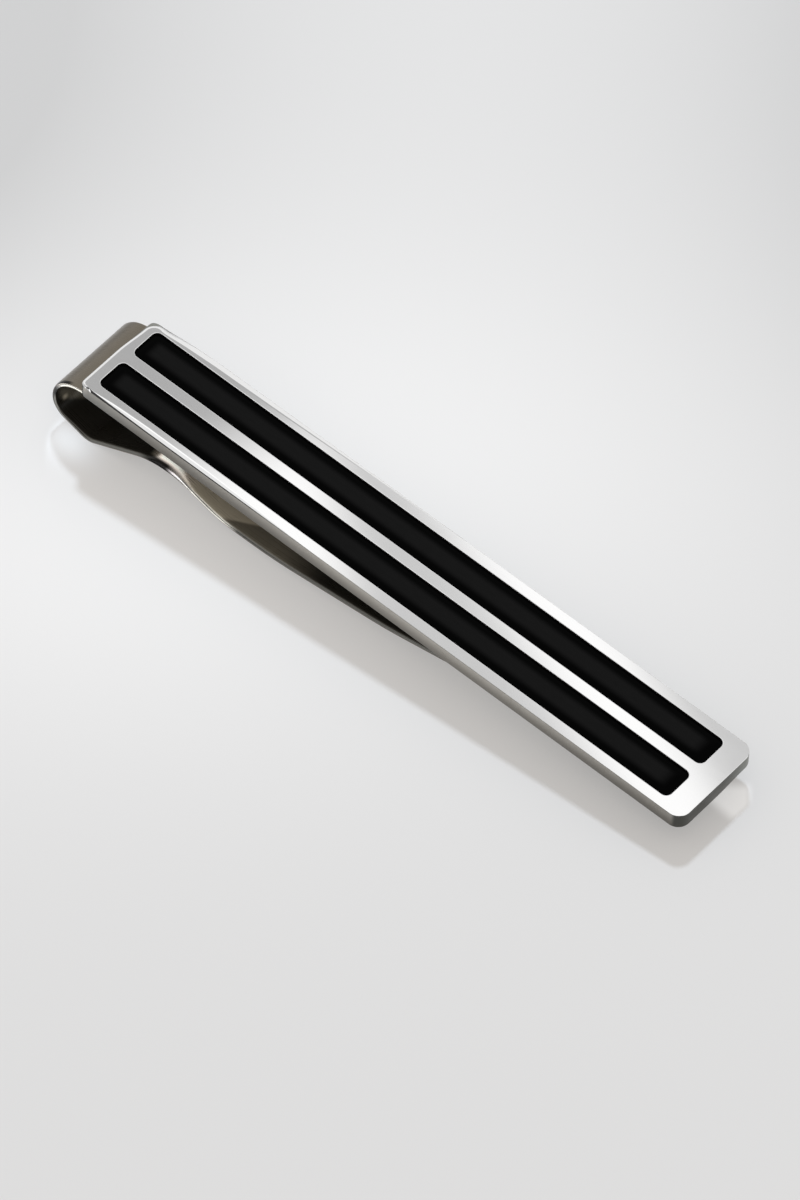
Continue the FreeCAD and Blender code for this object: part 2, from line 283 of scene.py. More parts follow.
def worn(pairs, along):
    """An amount of wear: straight lines between the places where it is given, averaged a little."""
    places, amounts = zip(*pairs)
    nearby = along[:, None] / MM + np.linspace(-WEAR_BLUR, WEAR_BLUR, WEAR_SAMPLES)
    return np.interp(nearby, places, amounts).mean(axis=1) * MM


print("the far edge's slope is up to", max(width for _, width in FAR_WEAR["slope"]), "mm wide")


# %% One half from above
class HalfBar:
    """One half's outlines, at the foot of its wall and at the face, and its wear, a number for each point.

    Along the long edge the wear follows the half's list. As the outline turns towards the loop end, the
    list gives way to the even roll of that end.
    """

    def __init__(self, wear):
        middle_high = np.array([bar_high[0], 0.0])
        foot_corners = (LOOP_CORNER, FREE_CORNER, 0, 0)
        face_corners = (wear["face corner"], FREE_CORNER, 0, 0)
        self.foot, _ = outline(bar_low[:2], middle_high, foot_corners, square_north=True)
        self.face, self.away = outline(bar_low[:2], middle_high, face_corners, square_north=True)
        self.away[:, 1] = np.minimum(self.away[:, 1], 0)
        self.at_loop = np.maximum(-self.away[:, 0], 0)
        at_free, at_side = np.maximum(self.away[:, 0], 0), 1 - self.at_loop
        along = self.face[:, 0] - bar_low[0]
        off_middle = smooth_step(-self.face[:, 1] / MIDDLE_EASE)
        self.slope = worn(wear["slope"], along) * at_side + LOOP_END_ROLL * self.at_loop
        self.drop = worn(wear["drop"], along) * at_side
        self.edge_break = EDGE_BREAK + (worn(wear["break"], along) - EDGE_BREAK) * at_side
        self.lean = worn(wear["lean"], along) * at_side + wear["end lean"] * off_middle * self.at_loop
        self.back_round = worn(BACK_ROUND, along) + wear["end back"] * off_middle * at_free

    def inset(self, plan, reach):
        """One of the outlines moved inward; its middle line is squeezed to end on the moved ends."""
        moved = plan - self.away * reach[:, None]
        on_middle = (self.face[:, 1] == 0) & (self.away[:, 0] == 0)
        west, east = moved[~on_middle, 0].min(), moved[~on_middle, 0].max()
        squeezed = np.interp(self.face[:, 0], [bar_low[0], bar_high[0]], [west, east])
        moved[:, 0] = np.where(on_middle, squeezed, moved[:, 0])
        return moved


halves = {"near": HalfBar(NEAR_WEAR), "far": HalfBar(FAR_WEAR)}
for name, half in halves.items():
    print(name, "edge drops by up to", round(half.drop.max() / MM, 3), "mm")


# %% Rows of the face and its pocket
def rounding(steps):
    """Shares of the radius, inward and downward, along a quarter round from the face to the wall."""
    turn = np.linspace(0, math.pi / 2, steps + 1)
    return list(zip(1 - np.sin(turn), 1 - np.cos(turn)))


def face_rows(half):
    """From the edge of the flat face in to the pocket, down its wall, and along its floor to the middle."""
    inlay_low, inlay_high = (np.array(corner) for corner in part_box("lower_inlay"))
    pocket, apart = outline(inlay_low[:2] - INLAY_PLAY, inlay_high[:2] + INLAY_PLAY, (POCKET_CORNER,) * 4)
    half_pocket = np.ptp(pocket[:, 1]) / 2
    floor_z = face_z - POCKET_DEPTH
    flat_edge = half.lean + half.edge_break + half.slope
    rows = [at_height(half.inset(half.face, flat_edge), face_z),
            at_height(half.inset(half.face, flat_edge + SUPPORT), face_z),
            at_height(pocket + apart * (POCKET_RIM + SUPPORT), face_z)]
    rows += [at_height(pocket + apart * POCKET_RIM * inward, face_z - POCKET_RIM * down)
             for inward, down in rounding(RIM_STEPS)]
    rows += [at_height(pocket, floor_z), at_height(spine(pocket, half_pocket), floor_z)]
    return np.array(rows)


print("rows of a half's face:", len(face_rows(halves["near"])))


# %% Rows of the wall and the back
def wall_rows(half):
    """Over the worn edge, down the leaning shoulder and the wall, round the back edge, and into the seat.

    At an angle t of the worn edge, the face has dropped by drop (sin t)^2 along a long edge, and by
    drop (1 - cos t), a quarter round, at the loop end.
    """
    rows = []
    for inward, down in rounding(ROUND_STEPS):
        drop = half.drop * (1 - inward) ** 2 + LOOP_END_DROP * half.at_loop * down
        edge = half.inset(half.face, half.lean + half.edge_break + half.slope * inward)
        rows.append(at_height(edge, face_z - drop))
    wall_top = face_z - drop - BREAK_SLOPE * half.edge_break
    for turn in np.linspace(SHOULDER_START, math.pi / 2, LEAN_STEPS + 1):
        inward = (1 - math.sin(turn)) / (1 - math.sin(SHOULDER_START))
        down = 1 - math.cos(turn) / math.cos(SHOULDER_START)
        shoulder = half.foot + inward * (half.inset(half.face, half.lean) - half.foot)
        rows.append(at_height(shoulder, wall_top - LEAN_DEPTH * down))
    rows += [at_height(half.inset(half.foot, half.back_round * inward), back_z + half.back_round * down)
             for inward, down in reversed(rounding(BACK_STEPS))]
    rows.append(at_height(half.inset(half.foot, half.back_round + SUPPORT), back_z))
    seat_low = np.array([bar_low[0] + SEAT_WEB, carrier_low[1] - SEAT_PLAY])
    seat_high = np.array([carrier_high[0] + SEAT_PLAY, 0.0])
    seat, _ = outline(seat_low, seat_high, (SEAT_WEB, SEAT_CORNER, 0, 0), square_north=True)
    seat_z = back_z + SEAT_DEPTH
    rows += [at_height(seat, back_z), at_height(seat, seat_z), at_height(seat * np.array([1, 0]), seat_z)]
    return np.array(rows)


def wall_marks(half, row_count):
    """For each wall point, whether the polish stops above it, and how much it faces one of the ends."""
    unpolished, end_share = np.zeros((2, row_count, len(half.face)))
    wall_from, back_from = ROUND_STEPS + 1, ROUND_STEPS + LEAN_STEPS + BACK_STEPS + 3
    unpolished[wall_from:] = 1
    end_share[wall_from:back_from] = np.abs(half.away[:, 0])
    return unpolished, end_share


print("rows of a half's wall and back:", len(wall_rows(halves["near"])))


# %% The whole bar
def outer_part(rows):
    """The part of each half row that is the bar's outside, from the loop end's middle to the free end's."""
    first = 2 * (LONG_STEPS - 1) + SHORT_STEPS - 1 + 3 * (CORNER_STEPS + 1) + CORNER_STEPS // 2
    length = 3 * CORNER_STEPS + LONG_STEPS + 2 * SHORT_STEPS + 1
    return np.roll(rows, -first, axis=1)[:, :length]


def make_face_bar():
    """The near half as it is worked out, and the far half turned over the middle line."""
    surfaces, marks = [], {"unpolished": [], "end_share": []}
    for half, side in ((halves["near"], 1), (halves["far"], -1)):
        face, wall = face_rows(half), wall_rows(half)
        over = np.array([1, side, 1])
        surfaces += [(face * over, True), (outer_part(wall) * over, False)]
        for values, mark in zip(marks.values(), wall_marks(half, len(wall))):
            values += [np.zeros(face.shape[0] * face.shape[1]), outer_part(mark).ravel()]
    return make_piece("polished_bar", surfaces, marks)


polished_bar = make_face_bar()

# %% [markdown]
# ## The black inlays
#
# Each inlay is a bar of black resin that was poured or pressed a hair below the rails, with edges drawn
# down by surface tension. A plain box would give one flat reflection. The dome here is the outline
# carried towards its middle line while the height follows a superellipse: steep at the rim, almost flat
# along the middle.

# %% Inlay shape
INLAY_CORNER = POCKET_CORNER - INLAY_PLAY
INLAY_RIM_DROP = 0.16 * MM
DOME_POWER = 2.4
DOME_STEPS = 20


def make_inlay(node):
    """Rows from the bottom's middle line out to the wall, up, and over the dome.

    A share t of the way in, the dome's height is z = rim + drop (1 - (1 - t)^p)^(1/p).
    """
    low, high = (np.array(corner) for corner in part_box(node))
    plan, _ = outline(low[:2], high[:2], (INLAY_CORNER,) * 4)
    middle = spine(plan, (high[1] - low[1]) / 2)
    rim_z = high[2] - INLAY_RIM_DROP
    share = 1 - np.cos(np.linspace(0, math.pi / 2, DOME_STEPS + 1))
    height = rim_z + INLAY_RIM_DROP * (1 - (1 - share) ** DOME_POWER) ** (1 / DOME_POWER)
    rows = [at_height(middle, low[2]), at_height(plan, low[2])]
    rows += [at_height(plan + t * (middle - plan), z) for t, z in zip(share, height)]
    rows = np.array(rows)
    depth_in = np.concatenate([[0, 0], share])
    attributes = {"core": [np.repeat(depth_in, len(plan))]}
    return make_piece("black_" + node, [(rows, True)], attributes)


inlays = {node: make_inlay(node) for node in ("lower_inlay", "upper_inlay")}

# %% [markdown]
# ## The spring strip
#
# One strip of spring steel makes the soldered end, the loop and the leg. Its side view is straight runs
# joined by round bends, and its section is a thin rectangle with slightly rolled edges, so each piece is
# that section carried along a stretch of the same path. Cutting the path where the frame cuts it keeps
# the three pieces apart, and sharing one path makes their ends meet exactly. The section narrows towards
# the rounded ends of the strip, and the roll of its inner edges, the lip, grows from the loop to the leg.

# %% Sizes of the strip
GAUGE = 0.35 * MM
OUTER_ROLL, OUTER_DROP = 0.3 * MM, 0.08 * MM
INNER_ROLL, INNER_DROP = 0.5 * MM, 0.2 * MM
LOOP_LIP = 0.25
LIP_GROWS = (5 * MM, 12 * MM)
CARRIER_CORNER = 0.8 * MM
TIP_CORNER = 2.5 * MM
ARC_STEP = math.radians(2.5)
RUN_STEP = 0.5 * MM

# Where a bend's two runs would meet, along the bar and down from its face, and the bend's radius, in mm.
BENDS = {
    "loop": ((-3.3, -1.2), 3.16),
    "heel": ((-2.83, -5.86), 1.8),
    "foot": ((0.45, -7.0), 1.55),
    "pinch": ((7.58, -3.05), 6.2),
    "belly": ((12.91, -4.92), 7.0),
    "rise": ((18.0, -4.9), 30.0),
    "lift": ((28.77, -3.37), 30.0),
    "crest": ((35.5, -1.74), 6.0),
}
TIP = (38.6, -1.96)

# The loop gives way to the leg a share of the way from the foot to the pinch.
SPLIT_SHARE = 0.15
print("bends of the strip:", ", ".join(BENDS))


# %% Runs and bends
def run_along(a, b, normal):
    """Points of a straight run and the direction into the strip, the same all along."""
    share = np.linspace(0, 1, max(2, math.ceil(np.linalg.norm(b - a) / RUN_STEP)))[:, None]
    return a + share * (b - a), np.repeat(normal[None, :], len(share), axis=0)


def bend_along(start, normal, radius, turn):
    """Points of a bend: start + R (n - n turned by the angle), where n points at the bend's centre."""
    angle = np.linspace(0, turn, max(3, math.ceil(abs(turn) / ARC_STEP)))
    cos, sin = np.cos(angle)[:, None], np.sin(angle)[:, None]
    across = np.array([-normal[1], normal[0]])
    turned = normal * cos + across * sin
    side = math.copysign(1.0, turn)
    return start + side * radius * (normal - turned), turned


def strip_path(start, bends, end):
    """The strip's outer face in side view, runs and bends in turn: points and inward directions."""
    corners = [np.array(start)] + [np.array(spot) * MM for spot, _ in bends] + [np.array(end)]
    radii = [radius * MM for _, radius in bends]
    ways = [(b - a) / np.linalg.norm(b - a) for a, b in zip(corners, corners[1:])]
    inward = [np.array([-way[1], way[0]]) for way in ways]
    points, normals, here = [], [], corners[0]
    for i, radius in enumerate(radii):
        turn = math.atan2(ways[i][0] * ways[i + 1][1] - ways[i][1] * ways[i + 1][0], ways[i] @ ways[i + 1])
        bend_start = corners[i + 1] - ways[i] * radius * math.tan(abs(turn) / 2)
        run = run_along(here, bend_start, inward[i])
        bend = bend_along(bend_start, inward[i], radius, turn)
        for where, into in (run, bend):
            points.append(where)
            normals.append(into)
        here = points[-1][-1]
    where, into = run_along(here, corners[-1], inward[-1])
    points, normals = np.concatenate(points + [where]), np.concatenate(normals + [into])
    fresh = np.concatenate([[True], np.linalg.norm(np.diff(points, axis=0), axis=1) > MERGE])
    return points[fresh], normals[fresh]


quarter_bend, _ = bend_along(np.zeros(2), np.array([0.0, 1.0]), 1.0, math.pi / 2)
print("a quarter bend of radius 1 ends at", np.round(quarter_bend[-1], 3))

# %% Paths of the three pieces
foot, pinch = np.array(BENDS["foot"][0]) * MM, np.array(BENDS["pinch"][0]) * MM
split = foot + SPLIT_SHARE * (pinch - foot)
strip_top = carrier_high[2] - DRAWING[2]
carrier_end = np.array([carrier_high[0] - DRAWING[0], strip_top])
carrier_start = np.array([carrier_low[0] - DRAWING[0], strip_top])
LOOP_BENDS = [BENDS[name] for name in ("loop", "heel", "foot")]
LEG_BENDS = [BENDS[name] for name in ("pinch", "belly", "rise", "lift", "crest")]
paths = {
    "spring_carrier": strip_path(carrier_end, [], carrier_start),
    "spring_loop": strip_path(carrier_start, LOOP_BENDS, split),
    "grip_leg": strip_path(split, LEG_BENDS, np.array(TIP) * MM),
}


def path_length(node):
    """Length of one piece's path."""
    return np.linalg.norm(np.diff(paths[node][0], axis=0), axis=1).sum()


path_begins = {"spring_carrier": -path_length("spring_carrier"), "spring_loop": 0.0,
               "grip_leg": path_length("spring_loop")}
for node, begins in path_begins.items():
    print(node, "begins", round(begins / MM, 2), "mm along the strip")

# %% Section of the strip
strip_half = carrier_high[1]
FLAT_STEPS = 6
EDGE_STEPS = 6


def strip_sections(lip_size):
    """Across and into the strip, counter-clockwise, and masks of the cut edge and its inner lip.

    Each edge is a quarter of an ellipse: half - w + w sin t across and d (1 - cos t) down from the flat.
    The cut edge's mask is sin^3 t on the outer side, and both masks are sin t on the inner one. There is
    one section for each size of the lip.
    """
    turn = np.linspace(0, math.pi / 2, EDGE_STEPS + 1)
    outer_across = strip_half - OUTER_ROLL * (1 - np.sin(turn))
    outer_into = OUTER_DROP * (1 - np.cos(turn))
    inner_across = strip_half - lip_size[:, None] * INNER_ROLL * (1 - np.sin(turn[::-1]))
    inner_into = GAUGE - lip_size[:, None] * INNER_DROP * (1 - np.cos(turn[::-1]))
    flat = np.linspace(-1, 1, FLAT_STEPS + 1)[1:-1] * (strip_half - INNER_ROLL)
    across = [flat, outer_across, inner_across, flat[::-1], -inner_across[:, ::-1], -outer_across[::-1]]
    level, none = np.zeros(len(flat)), np.zeros(len(turn))
    into = [level, outer_into, inner_into, level + GAUGE, inner_into[:, ::-1], outer_into[::-1]]
    cut, bent = np.sin(turn) ** 3, np.sin(turn[::-1])
    cut_edge = [level, cut, bent, level, bent[::-1], cut[::-1]]
    lip = [level, none, bent, level, bent[::-1], none]

    def side_by_side(parts):
        """Parts joined into rows; a part that the lip doesn't change is the same in every row."""
        rows = [np.broadcast_to(part, (len(lip_size), part.shape[-1])) for part in parts]
        return np.concatenate(rows, axis=1)

    return [side_by_side(parts) for parts in (across, into, cut_edge, lip)]


print("points round the section:", strip_sections(np.ones(1))[0].shape[1])


# %% Section carried along the path
def narrowed(distance, radius):
    """How far each side draws in at a distance from a rounded end: r - sqrt(r^2 - (r - d)^2)."""
    left = np.clip(radius - distance, 0, radius)
    return radius - np.sqrt(radius ** 2 - left ** 2)


def make_strip(node, name, start_corner=0.0, end_corner=0.0):
    """The section at stations along the node's path, drawn in towards rounded ends and capped at both.

    The stations are the path's own points, and on a rounded end r (1 - cos t) from that end.
    """
    points, normals = paths[node]
    length = np.concatenate([[0], np.cumsum(np.linalg.norm(np.diff(points, axis=0), axis=1))])
    from_end = length[-1] - length
    between_ends = length[(length > start_corner + MERGE) & (from_end > end_corner + MERGE)]
    rounded = 1 - np.cos(np.linspace(0, math.pi / 2, CORNER_STEPS + 1))
    ends = [start_corner * rounded, length[-1] - end_corner * rounded]
    station = np.unique(np.concatenate([between_ends] + ends))
    x, z = (np.interp(station, length, column)[:, None] for column in points.T)
    x_in, z_in = (np.interp(station, length, column)[:, None] for column in normals.T)
    unit = np.hypot(x_in, z_in)
    grown = smooth_step((path_begins[node] + station - LIP_GROWS[0]) / (LIP_GROWS[1] - LIP_GROWS[0]))
    across, into, cut_edge, lip = strip_sections(LOOP_LIP + (1 - LOOP_LIP) * grown)
    draw_in = np.maximum(narrowed(station, start_corner), narrowed(station[-1] - station, end_corner))
    side = np.clip(across / (strip_half - OUTER_ROLL), -1, 1)
    rows = np.stack([DRAWING[0] + x + x_in / unit * into, across - side * draw_in[:, None],
                     DRAWING[2] + z + z_in / unit * into], axis=-1)
    count = across.shape[1]
    attributes = {
        "cut_edge": [cut_edge.ravel()],
        "lip": [lip.ravel()],
        "inside": [into.ravel() / GAUGE],
        "along": [np.repeat(path_begins[node] + station, count) / MM],
    }
    ring = np.arange(count)
    last = (len(station) - 1) * count
    return make_piece(name, [(rows, True)], attributes, caps=(ring, last + ring))


soldered_end = make_strip("spring_carrier", "soldered_strip_end", start_corner=CARRIER_CORNER)
hairpin_loop = make_strip("spring_loop", "hairpin_loop")
wavy_leg = make_strip("grip_leg", "wavy_grip_leg", end_corner=TIP_CORNER)

# %% [markdown]
# ## Which body each piece follows
#
# The bar opens about the middle of the loop. The bar, its inlays and the soldered end move with it, and the
# leg stays on the table. The loop is attached to neither: its place is baked into its points.

# %% Riding on the frame
for piece, node, body, slot in (
    (polished_bar, "face_bar", "bar", "polished_steel"),
    (inlays["lower_inlay"], "lower_inlay", "bar", "black_inlay"),
    (inlays["upper_inlay"], "upper_inlay", "bar", "black_inlay"),
    (soldered_end, "spring_carrier", "bar", "spring_steel"),
    (wavy_leg, "grip_leg", "leg", "spring_steel"),
):
    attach(piece, body)
    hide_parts(node)

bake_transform(hairpin_loop)
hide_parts("spring_loop")

# %% [markdown]
# ## Writing shaders as sums
#
# A node tree is easier to read as arithmetic. A Wire stands for one output socket, and adding or
# multiplying wires adds the Math nodes. Every other node comes from Finish.node, which takes the node's
# type, its settings and its sockets.


# %% Wires
class Wire:
    """One node's output. Arithmetic with wires and numbers adds Math nodes to the same tree."""

    def __init__(self, finish, socket):
        self.finish = finish
        self.socket = socket

    def maths(self, operation, *values):
        return self.finish.node("ShaderNodeMath", {"operation": operation}, dict(enumerate(values)))

    def __add__(self, other):
        return self.maths("ADD", self, other)

    def __radd__(self, other):
        return self.maths("ADD", other, self)

    def __sub__(self, other):
        return self.maths("SUBTRACT", self, other)

    def __rsub__(self, other):
        return self.maths("SUBTRACT", other, self)

    def __mul__(self, other):
        return self.maths("MULTIPLY", self, other)

    def __rmul__(self, other):
        return self.maths("MULTIPLY", other, self)

    def __truediv__(self, other):
        return self.maths("DIVIDE", self, other)

    def __pow__(self, other):
        return self.maths("POWER", self, other)

    def exp(self):
        return self.maths("EXPONENT", self)

    def at_least(self, floor):
        return self.maths("MAXIMUM", self, floor)


print("a wire can:", ", ".join(name.strip("_") for name in vars(Wire) if callable(getattr(Wire, name))))


# %% Finishes
class Finish:
    """A material or world whose nodes are added one by one."""

    def __init__(self, owner):
        self.owner = owner
        owner.use_nodes = True
        self.tree = owner.node_tree
        self.tree.nodes.clear()

    def node(self, kind, settings=None, sockets=None, output=0):
        """Add a node: settings first, then each socket's value or link. Gives back one of its outputs."""
        made = self.tree.nodes.new(kind)
        for key, value in (settings or {}).items():
            setattr(made, key, value)
        for key, value in (sockets or {}).items():
            if isinstance(value, Wire):
                self.tree.links.new(value.socket, made.inputs[key])
            else:
                made.inputs[key].default_value = value
        return Wire(self, made.outputs[output] if made.outputs else None)

    def mix(self, share, first, second):
        """Colour first where share is 0, second where it is 1."""
        return self.node("ShaderNodeMix", {"data_type": "RGBA"}, {0: share, 6: first, 7: second}, output=2)

    def shade(self, value, red=1.0, blue=1.0):
        """A grey from one number, or one tinted by its red and its blue against its green."""
        return self.node("ShaderNodeCombineColor", None,
                         {"Red": red * value, "Green": value, "Blue": blue * value})

    def ramp(self, value, low, high):
        """A smooth rise from 0 at low to 1 at high."""
        return self.node("ShaderNodeMapRange", {"interpolation_type": "SMOOTHSTEP"},
                         {"Value": value, "From Min": low, "From Max": high})

    def attribute(self, name):
        """One number per point, stored on the mesh."""
        return self.node("ShaderNodeAttribute", {"attribute_name": name}, output="Fac")

    def stretched(self, scale):
        """The piece's own place in millimetres, stretched along each axis."""
        place = self.node("ShaderNodeTexCoord", output="Object")
        return self.node("ShaderNodeVectorMath", {"operation": "MULTIPLY"},
                         {0: place, 1: [s / MM for s in scale]})

    def axis(self, name):
        """One coordinate of the piece's own place, in millimetres."""
        return self.node("ShaderNodeSeparateXYZ", None, {0: self.stretched((1, 1, 1))}, output=name)

    def noise(self, place, detail=3.0, roughness=0.5):
        """Cloudy values round 0.5."""
        return self.node("ShaderNodeTexNoise", {"noise_dimensions": "3D"},
                         {"Vector": place, "Scale": 1.0, "Detail": detail, "Roughness": roughness})

    def bump(self, height, strength, distance):
        """A normal tilted by a height field, in metres of relief."""
        return self.node("ShaderNodeBump", None,
                         {"Height": height, "Strength": strength, "Distance": distance})

    def output(self, shader, kind="ShaderNodeOutputMaterial"):
        """The tree's last node, which shows a shader."""
        self.node(kind, None, {"Surface": shader})
        print(f"{self.owner.name}: {len(self.tree.nodes)} nodes")
        return self.owner

    def surface(self, **sockets):
        """A Principled shader on the output."""
        titles = {key: key.replace("_", " ").title().replace("Ior", "IOR") for key in sockets}
        named = {titles[key]: value for key, value in sockets.items()}
        return self.output(self.node("ShaderNodeBsdfPrincipled", None, named))


def grey(value, warmth=0.0):
    """A grey, or one a little warmer or cooler: red up and blue down by the same share."""
    return (value * (1 + warmth), value, value * (1 - warmth), 1.0)


print("a middle grey, a little warm:", grey(0.5, 0.1))


# %% [markdown]
# ## Polished steel
#
# The face is buffed to a mirror, so its colour is whatever it reflects. What makes it steel and not chrome
# paint is small: a faint cloudiness of the polish, and hairlines along the bar that only show in a
# highlight. The wall is one step behind, satin from tumbling, and the two ends, where the bar was cut, are
# duller, with a painted shade that makes them darker still. The wall's colour also carries painted light:
# lighter towards the face and along the middle, a painted shade at the far corner and a painted highlight at
# the near one. The mesh carries a number that says how much a wall point faces the ends.

# %% Mirror polish
POLISH_CLOUDS, HAIRLINES = (0.35, 0.9, 0.9), (0.25, 38.0, 38.0)
HAIRLINE_RELIEF = 0.0004 * MM


def polished_steel():
    """Bright steel, whose tone and gloss vary by a few hundredths."""
    finish = Finish(bpy.data.materials.new("polished_steel"))
    clouds = finish.noise(finish.stretched(POLISH_CLOUDS), detail=4.0)
    hairlines = finish.noise(finish.stretched(HAIRLINES), detail=2.0)
    return finish.surface(
        base_color=finish.mix(clouds, grey(0.79, 0.004), grey(0.83, 0.002)),
        metallic=1.0,
        roughness=0.03 + 0.02 * clouds + 0.02 * hairlines,
        normal=finish.bump(hairlines, 0.06, HAIRLINE_RELIEF),
    )


mirror_polish = polished_steel()

# %% Satin wall
WALL_LINES, WALL_CLOUDS = (0.3, 9.0, 26.0), (0.8, 0.8, 0.8)
WALL_RELIEF = 0.002 * MM
# Painted sheen along the middle, a painted highlight on the ends towards the far side, painted shade at the
# far corner, a painted highlight at the near one.
SHEEN_RISE, SHEEN_FALL = (5, 30), (37, 57)
END_LIT_Y = (0.5, 4.0)
END_FACING = (0.1, 0.45)
FAR_SHADE_Y, FAR_SHADE_ALONG = (3.2, 3.8), (1.5, 4.0)
NEAR_HIGHLIGHT_Y, NEAR_HIGHLIGHT_ALONG = (-3.8, -3.4), (0.2, 0.9)


def satin_wall():
    """Painted lighter towards the face and along the middle; painted shade at the far corner, a highlight at
    the near one.
    """
    finish = Finish(bpy.data.materials.new("satin_steel_wall"))
    lines = finish.noise(finish.stretched(WALL_LINES), detail=3.0)
    clouds = finish.noise(finish.stretched(WALL_CLOUDS), detail=3.0)
    along, across = finish.axis("X") - bar_low[0] / MM, finish.axis("Y")
    # Painted light: the wall is painted lighter towards the face.
    painted_face_light = finish.ramp(finish.axis("Z"), back_z / MM, face_z / MM)
    sheen = finish.ramp(along, *SHEEN_RISE) - 0.8 * finish.ramp(along, *SHEEN_FALL)
    side = (0.175 + 0.215 * painted_face_light) * (0.76 + 0.42 * sheen) * (0.92 + 0.16 * clouds)
    # Painted shade: the cut ends are painted darker than the side, and lighter towards the far side.
    end = (0.08 + 0.2 * finish.ramp(across, *END_LIT_Y)) * (0.9 + 0.2 * clouds)
    end_share = finish.ramp(finish.attribute("end_share"), *END_FACING)
    far_corner_shade = finish.ramp(across, *FAR_SHADE_Y) * (1 - finish.ramp(along, *FAR_SHADE_ALONG))
    near_corner_highlight = (1 - finish.ramp(across, *NEAR_HIGHLIGHT_Y)) * (1 - finish.ramp(along, *NEAR_HIGHLIGHT_ALONG))
    side *= (1 - 0.75 * far_corner_shade) * (1 + 1.2 * near_corner_highlight * painted_face_light)
    return finish.surface(
        base_color=finish.shade(side + (end - side) * end_share, 1.045 - 0.06 * end_share, 0.91),
        metallic=1.0,
        roughness=0.24 + 0.1 * lines + 0.08 * end_share,
        normal=finish.bump(lines, 0.12, WALL_RELIEF),
    )


satin_steel = satin_wall()

# %% Where the polish stops
POLISH_TILT, POLISH_SIDE = math.radians(20), math.radians(45)


def dress_bar():
    """Mirror polish on the face and its rounded edges, satin on the wall, the back and the pockets."""
    mesh = polished_bar.data
    mesh.materials.append(mirror_polish)
    mesh.materials.append(satin_steel)
    normals, centres = np.empty((2, len(mesh.polygons) * 3))
    mesh.polygons.foreach_get("normal", normals)
    mesh.polygons.foreach_get("center", centres)
    normals, height = normals.reshape(-1, 3), centres.reshape(-1, 3)[:, 2]
    mark = np.empty(len(mesh.vertices))
    mesh.attributes["unpolished"].data.foreach_get("value", mark)
    first_corner = np.empty(len(mesh.polygons), np.int32)
    mesh.polygons.foreach_get("loop_start", first_corner)
    corner_point = np.empty(len(mesh.loops), np.int32)
    mesh.loops.foreach_get("vertex_index", corner_point)
    on_wall = np.minimum.reduceat(mark[corner_point], first_corner) > 0.5
    polished = ~on_wall & (normals[:, 2] > math.sin(POLISH_TILT))
    polished &= (height > face_z - POCKET_DEPTH + SUPPORT) & (normals[:, 1] < math.sin(POLISH_SIDE))
    mesh.polygons.foreach_set("material_index", np.where(polished, 0, 1).astype(np.int32))
    print("bar faces polished:", int(polished.sum()), "of", len(polished))


dress_bar()

# %% [markdown]
# ## Black resin
#
# The inlays are close to black, with a soft sheen that is strongest along the middle and fades into a darker
# margin. The sheen is painted: the colour of the core is a shade above the black of the drawn-down rim.

# %% Black resin finish
SHEEN_BEGINS, SHEEN_ENDS = (1.4, 2.3), (52.3, 53.5)
SHEEN_CORE = (0.3, 0.75)
RESIN_GRAIN = (1.2, 6.0, 6.0)
RESIN_RELIEF = 0.002 * MM


def black_resin():
    """Black at the rim, and a painted sheen a shade above black on the core between the two ends."""
    finish = Finish(bpy.data.materials.new("black_resin"))
    along = finish.axis("X") - bar_low[0] / MM
    ends = finish.ramp(along, *SHEEN_BEGINS) - finish.ramp(along, *SHEEN_ENDS)
    # Painted sheen: the core is painted lighter than the rim.
    core = finish.ramp(finish.attribute("core"), *SHEEN_CORE) * ends
    grain = finish.noise(finish.stretched(RESIN_GRAIN), detail=3.0)
    body = finish.mix(grain, grey(0.006), grey(0.0078))
    return finish.surface(
        base_color=finish.mix(core, grey(0.0002), body),
        roughness=0.34 + 0.06 * grain,
        specular_ior_level=0.02,
        normal=finish.bump(grain, 0.05, RESIN_RELIEF),
    )


resin = black_resin()
for piece in inlays.values():
    piece.data.materials.append(resin)

# %% [markdown]
# ## Spring steel
#
# The strip was rolled and hardened, which leaves a brownish grey skin with fine lines along its length.
# Its long edges were sheared, and where they flash, the flash is a painted highlight, while the flats stay
# dark. The mesh knows where an edge begins to turn, and that number mixes the two. A bent strip also mirrors
# something else at every place. A lamp for each flash would light the rest of the clip as well, so the
# highlights, reflections and shade are painted into the colour, given by stretches along the strip.

# %% Places on the strip
# Millimetres along the strip from the loop's start: where a stretch begins and where it ends, each as
# a pair of marks that its soft edge runs between.
# The stretches carry painted highlights, painted reflections and painted shade.
STRETCHES = {
    "top": ((-1, 0), (3.1, 4.1)),
    "top end": ((1.5, 2.2), (3.4, 4.1)),
    "back": ((3.2, 4.2), (7, 9)),
    "back lip": ((4.8, 5.6), (7.2, 8.4)),
    "glint": ((5.8, 6.2), (6.2, 6.6)),
    "foot edge": ((7, 8), (16, 17)),
    "foot lip": ((7.5, 8.5), (15.5, 17)),
    "pinch margin": ((15.5, 16.5), (18.2, 19.6)),
    "leg rim": ((16, 18), (48, 50)),
    "pinch": ((16.4, 17.6), (18.9, 21.2)),
    "belly lip": ((18.2, 19.2), (23.5, 25.5)),
    "leg edge": ((23, 25), (48, 50)),
}
BAR_END_HIGHLIGHT_FADE, TURN_HIGHLIGHT_RISE = (0.1, 0.7), (2, 3.2)
BELLY_RISE, LEG_FADE = (18.9, 21.2), (28.0, 33.5)
LIT_BAND_SLANT = 0.95
LIT_BAND_ALONG, LIT_BAND_ACROSS = ((7.4, 8.2), (8.7, 9.4)), ((-3.6, -2.8), (-1.4, 0.0))
MIRROR_SLANT, MIRROR_EDGE = 1.97, (30.4, 31.0)
GLINT_ACROSS = ((-3.2, -2.8), (-2.8, -2.4))
